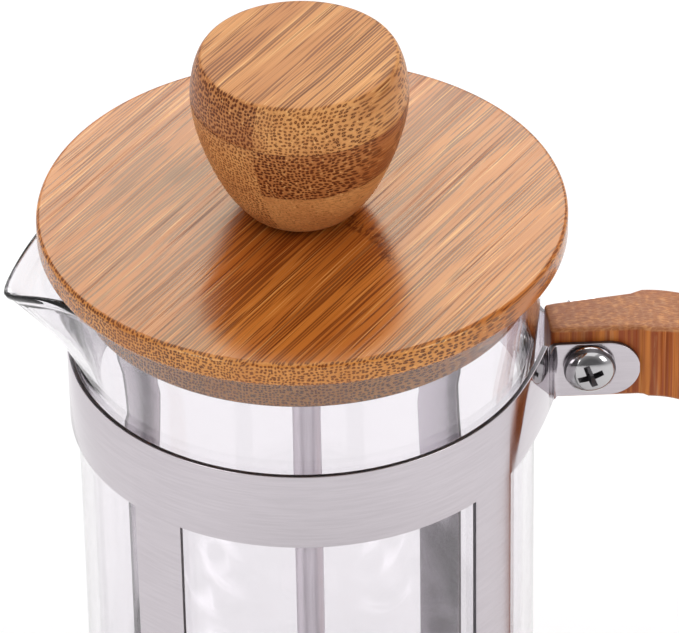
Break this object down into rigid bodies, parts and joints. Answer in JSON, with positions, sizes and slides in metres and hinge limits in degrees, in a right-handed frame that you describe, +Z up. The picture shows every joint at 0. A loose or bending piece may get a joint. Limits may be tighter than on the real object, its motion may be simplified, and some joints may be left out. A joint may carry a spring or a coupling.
{
  "type": "french press",
  "caption": "Glass coffee press in a flat steel frame, with a bamboo lid, plunger knob and side handle, and a filter on a sliding, turning rod.",
  "frame": {"origin": "middle of the underside of the foot pad, on the surface that the press stands on", "axes": "+Z up along the plunger rod, +X towards the handle, and the pouring lip points roughly along -X"},
  "size_m": [0.1265, 0.08, 0.1666],
  "materials": {
    "bamboo": "clear gloss lacquer",
    "handle_bamboo": "clear satin lacquer",
    "satin_steel": "satin",
    "bright_steel": "bright",
    "filter_steel": "woven wire",
    "glass": "clear",
    "silicone": "matte",
    "clear_silicone": "translucent matte",
    "brass": "turned"
  },
  "bodies": {
    "frame": {"frame_shell": "satin_steel", "base_plate": "satin_steel", "foot_pad": "silicone", "glass_cushion": "clear_silicone", "handle": "handle_bamboo", "upper_clamp_screw": "bright_steel", "lower_clamp_screw": "bright_steel", "upper_clamp_nut": "bright_steel", "lower_clamp_nut": "bright_steel"},
    "beaker": {"glass_beaker": "glass"},
    "lid": {"lid": "bamboo"},
    "bush": {"lid_bush": "bright_steel"},
    "plunger": {"knob": "bamboo", "knob_insert": "brass", "plunger_rod": "bright_steel", "spiral_plate": "bright_steel", "edge_spring": "bright_steel", "filter_mesh": "filter_steel", "cross_plate": "bright_steel", "cross_plate_hub": "bright_steel"}
  },
  "joints": [
    {"name": "beaker_lift", "type": "slide", "parent": "frame", "child": "beaker", "axis": [0, 0, 1], "range_m": [0, 0.12]},
    {"name": "lid_lift", "type": "slide", "parent": "beaker", "child": "lid", "axis": [0, 0, 1], "range_m": [0, 0.14]},
    {"name": "plunger_turn", "type": "hinge", "parent": "lid", "child": "bush", "pos_m": [0, 0, 0.139], "axis": [0, 0, 1], "continuous": true},
    {"name": "plunger_press", "type": "slide", "parent": "bush", "child": "plunger", "axis": [0, 0, 1], "range_m": [0, 0.105]}
  ]
}
